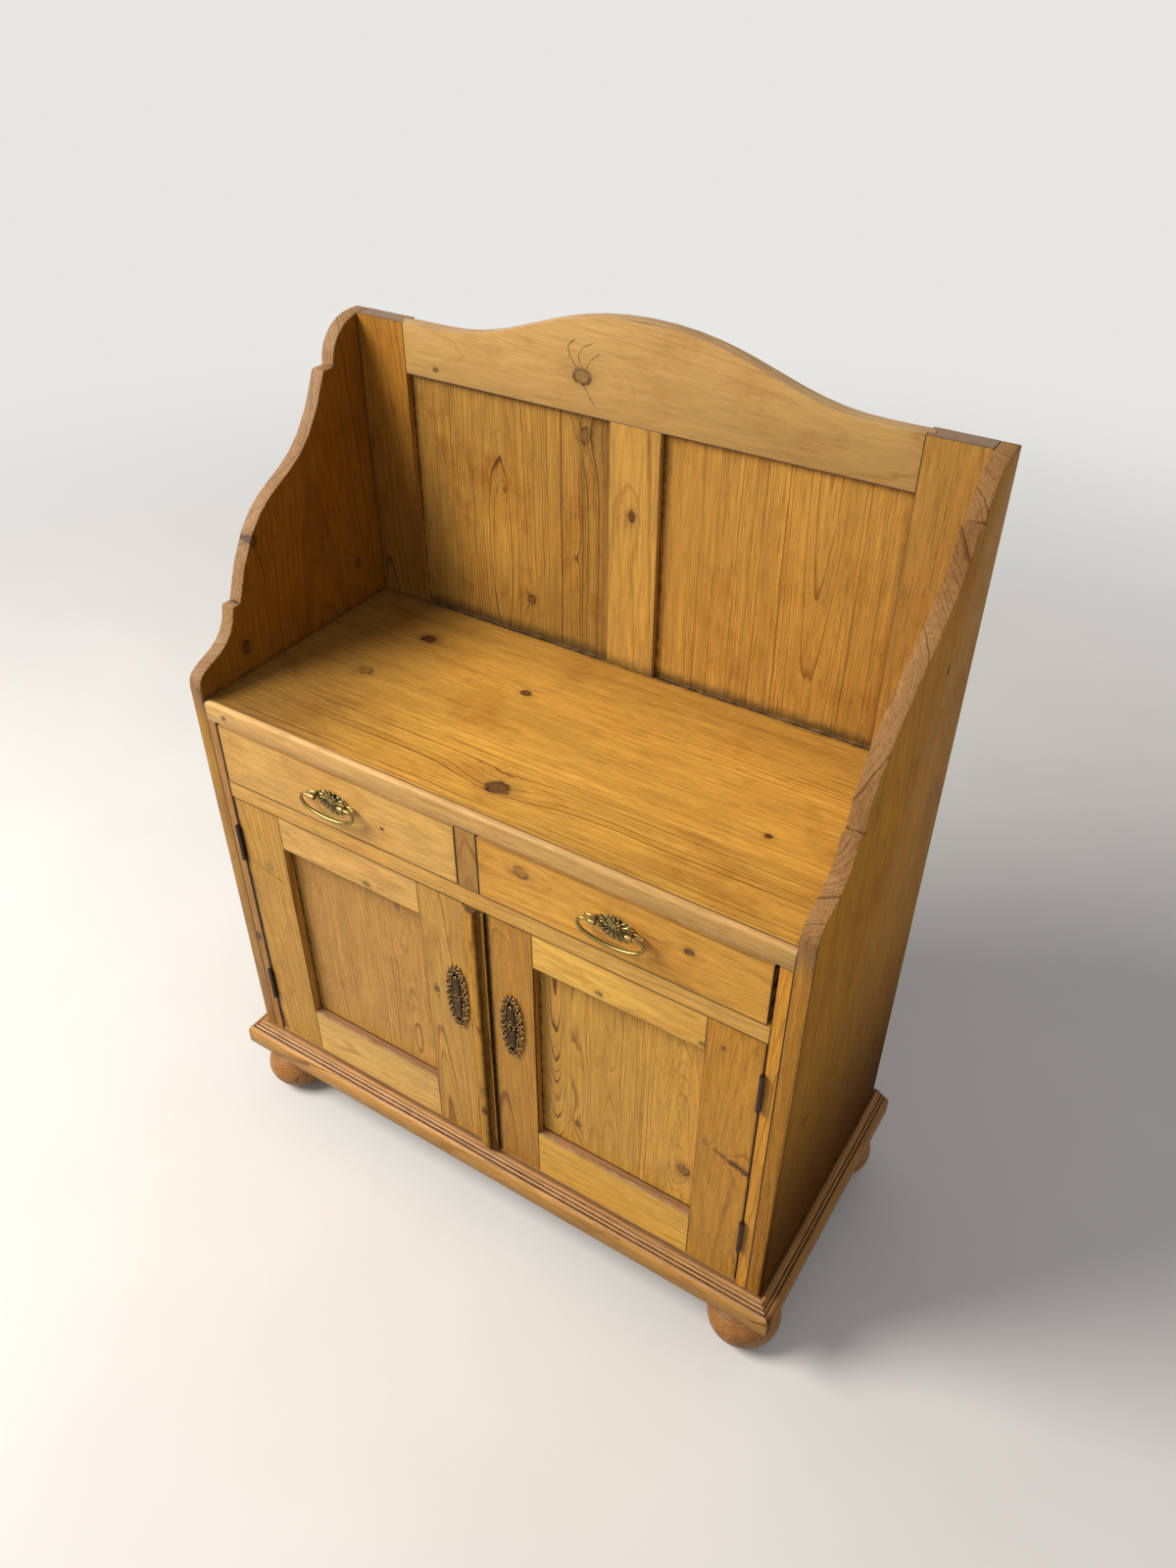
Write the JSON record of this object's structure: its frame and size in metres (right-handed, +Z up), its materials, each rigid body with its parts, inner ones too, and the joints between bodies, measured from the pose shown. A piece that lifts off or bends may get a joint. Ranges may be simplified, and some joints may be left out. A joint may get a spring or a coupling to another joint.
{
  "type": "gallery-back cupboard",
  "caption": "Waxed pine cupboard with scrolled gallery sides and arched back over drawers and framed doors, on a moulded plinth and bun feet.",
  "frame": {"origin": "on the floor, under the centre of the bounding box", "axes": "+Z up, -Y towards the viewer through the doors, +X to the right of someone facing the doors"},
  "size_m": [1.054, 0.4824, 1.3847],
  "materials": {
    "pine_side": "waxed",
    "pine_frame": "waxed",
    "pine_top": "waxed",
    "pine_panel": "waxed",
    "pine_worn": "worn wax",
    "pine_turned": "waxed",
    "pine_inside": "raw",
    "iron": "aged",
    "bronze": "darkened",
    "brass": "aged"
  },
  "bodies": {
    "carcass": {"side_panel_left": "pine_side", "side_panel_right": "pine_side", "front_stile_left": "pine_frame", "front_stile_right": "pine_frame", "worktop": "pine_top", "worktop_nosing": "pine_worn", "middle_rail": "pine_frame", "drawer_divider": "pine_frame", "bottom_board": "pine_inside", "shelf": "pine_inside", "drawer_runner_frame": "pine_inside", "back_stile_left": "pine_frame", "back_stile_right": "pine_frame", "crest_rail": "pine_frame", "back_middle_rail": "pine_inside", "back_muntin": "pine_frame", "back_panel_left": "pine_panel", "back_panel_right": "pine_panel", "lower_back_board": "pine_inside", "plinth_front": "pine_worn", "plinth_left": "pine_worn", "plinth_right": "pine_worn", "foot_front_left": "pine_turned", "foot_front_right": "pine_turned", "foot_back_left": "pine_turned", "foot_back_right": "pine_turned", "hinge_left_lower_frame_leaf": "iron", "hinge_left_upper_frame_leaf": "iron", "hinge_right_lower_frame_leaf": "iron", "hinge_right_upper_frame_leaf": "iron"},
    "door_left": {"door_left_hinge_stile": "pine_frame", "door_left_meeting_stile": "pine_frame", "door_left_top_rail": "pine_frame", "door_left_bottom_rail": "pine_frame", "door_left_panel": "pine_panel", "door_left_escutcheon": "bronze", "hinge_left_lower_door_leaf": "iron", "hinge_left_upper_door_leaf": "iron"},
    "turn_button": {"door_left_turn_button": "iron"},
    "door_right": {"door_right_hinge_stile": "pine_frame", "door_right_meeting_stile": "pine_frame", "door_right_top_rail": "pine_frame", "door_right_bottom_rail": "pine_frame", "door_right_panel": "pine_panel", "door_right_meeting_strip": "pine_worn", "door_right_escutcheon": "bronze", "door_right_lock_case": "iron", "hinge_right_lower_door_leaf": "iron", "hinge_right_upper_door_leaf": "iron"},
    "lock_bolt": {"door_right_lock_bolt": "iron"},
    "drawer_left": {"drawer_left_front": "pine_frame", "drawer_left_box": "pine_inside", "drawer_left_bottom": "pine_inside", "drawer_left_pull_plate": "brass"},
    "bail_left": {"drawer_left_bail": "brass"},
    "drawer_right": {"drawer_right_front": "pine_frame", "drawer_right_box": "pine_inside", "drawer_right_bottom": "pine_inside", "drawer_right_pull_plate": "brass"},
    "bail_right": {"drawer_right_bail": "brass"}
  },
  "joints": [
    {"name": "door_left_hinge", "type": "hinge", "parent": "carcass", "child": "door_left", "pos_m": [-0.45775, -0.21815, 0.155], "axis": [0, 0, -1], "range_deg": [0, 170]},
    {"name": "door_right_hinge", "type": "hinge", "parent": "carcass", "child": "door_right", "pos_m": [0.45775, -0.21815, 0.155], "axis": [0, 0, 1], "range_deg": [0, 170]},
    {"name": "turn_button_pin", "type": "hinge", "parent": "door_left", "child": "turn_button", "pos_m": [-0.05375, -0.18875, 0.6833], "axis": [0, 1, 0], "range_deg": [0, 90]},
    {"name": "lock_bolt_slide", "type": "slide", "parent": "door_right", "child": "lock_bolt", "axis": [-1, 0, 0], "range_m": [0, 0.009]},
    {"name": "drawer_left_slide", "type": "slide", "parent": "carcass", "child": "drawer_left", "axis": [0, -1, 0], "range_m": [0, 0.3]},
    {"name": "drawer_right_slide", "type": "slide", "parent": "carcass", "child": "drawer_right", "axis": [0, -1, 0], "range_m": [0, 0.3]},
    {"name": "bail_left_swing", "type": "hinge", "parent": "drawer_left", "child": "bail_left", "pos_m": [-0.2376, -0.22725, 0.786], "axis": [-1, 0, 0], "range_deg": [0, 95]},
    {"name": "bail_right_swing", "type": "hinge", "parent": "drawer_right", "child": "bail_right", "pos_m": [0.23615, -0.22725, 0.786], "axis": [-1, 0, 0], "range_deg": [0, 95]}
  ]
}
